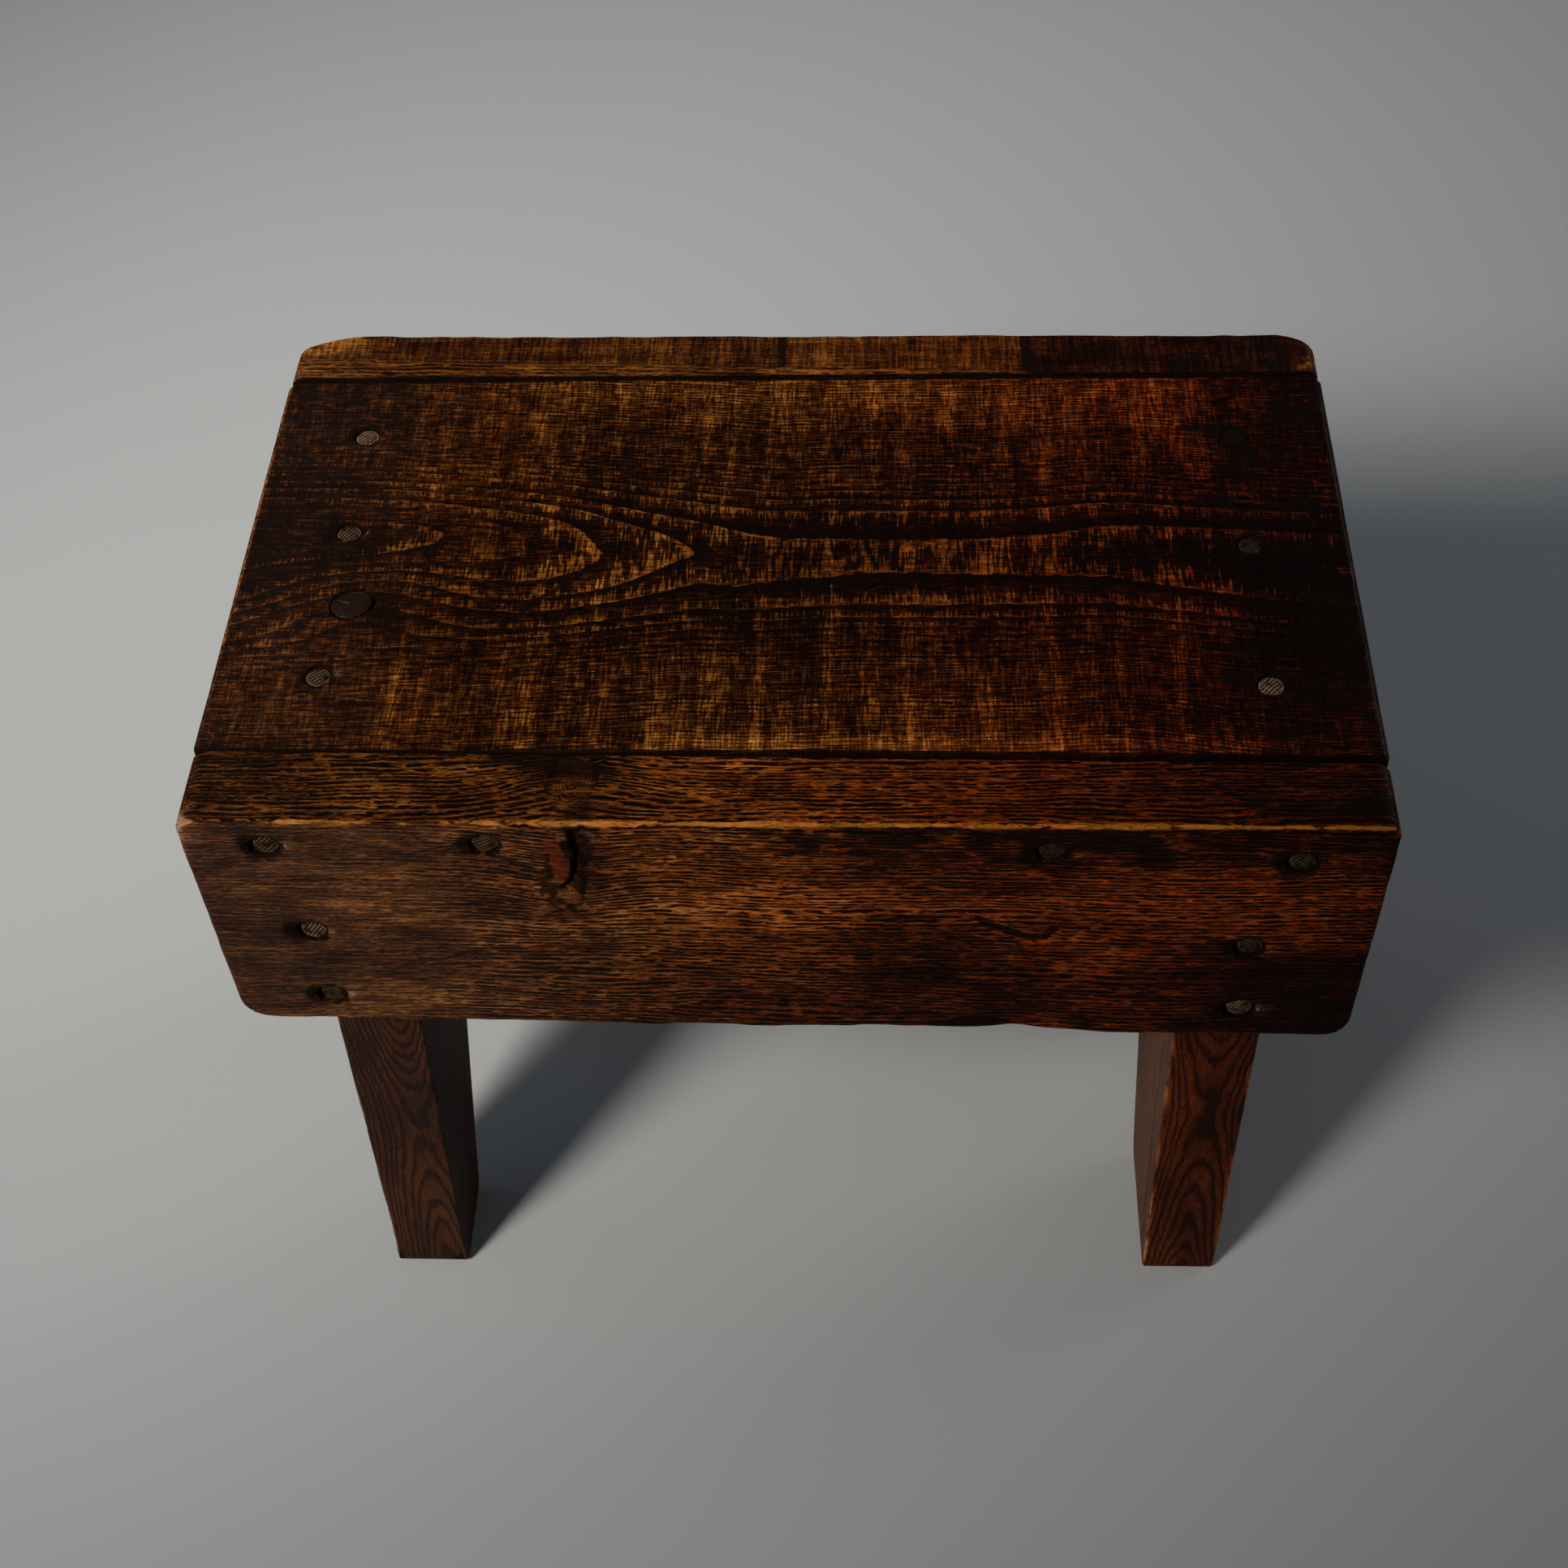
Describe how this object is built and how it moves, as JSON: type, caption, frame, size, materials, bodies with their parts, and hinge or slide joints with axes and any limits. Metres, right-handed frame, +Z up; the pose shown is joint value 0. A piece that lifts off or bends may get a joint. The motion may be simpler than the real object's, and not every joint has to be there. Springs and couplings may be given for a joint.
{
  "type": "milking stool",
  "caption": "Low wooden milking stool: a flush plank seat between deep nailed aprons, on upright slab legs with V-cut feet, stained dark and worn.",
  "frame": {"origin": "centre of the stool's footprint, on the floor", "axes": "+X along the seat to the right, +Y to the back, +Z up; the front is the side with the deeper worn apron edge"},
  "size_m": [0.35, 0.228, 0.272],
  "materials": {
    "seat_wood": "dark stained pine, rubbed orange on the ridges, satin",
    "apron_wood": "dark stained pine with bare orange arrises, satin",
    "leg_wood": "dark reddish stained pine, satin",
    "knot_wood": "hard dark knot, polished by use",
    "nail_iron": "dark worn iron with a cross-hatched head"
  },
  "bodies": {
    "root": {"seat_plank": "seat_wood", "front_apron": "apron_wood", "back_apron": "apron_wood", "left_leg": "leg_wood", "right_leg": "leg_wood", "loose_knot": "knot_wood", "top_nail_left_back": "nail_iron", "top_nail_left_middle": "nail_iron", "top_nail_left_front": "nail_iron", "top_nail_right_back": "nail_iron", "top_nail_right_middle": "nail_iron", "top_nail_right_front": "nail_iron", "front_nail_upper_left": "nail_iron", "front_nail_upper_mid_left": "nail_iron", "front_nail_upper_mid_right": "nail_iron", "front_nail_upper_right": "nail_iron", "front_nail_middle_left": "nail_iron", "front_nail_lower_left": "nail_iron", "front_nail_middle_right": "nail_iron", "front_nail_lower_right": "nail_iron", "back_nail_upper_left": "nail_iron", "back_nail_upper_mid_left": "nail_iron", "back_nail_upper_mid_right": "nail_iron", "back_nail_upper_right": "nail_iron", "back_nail_middle_left": "nail_iron", "back_nail_lower_left": "nail_iron", "back_nail_middle_right": "nail_iron", "back_nail_lower_right": "nail_iron"}
  },
  "joints": []
}
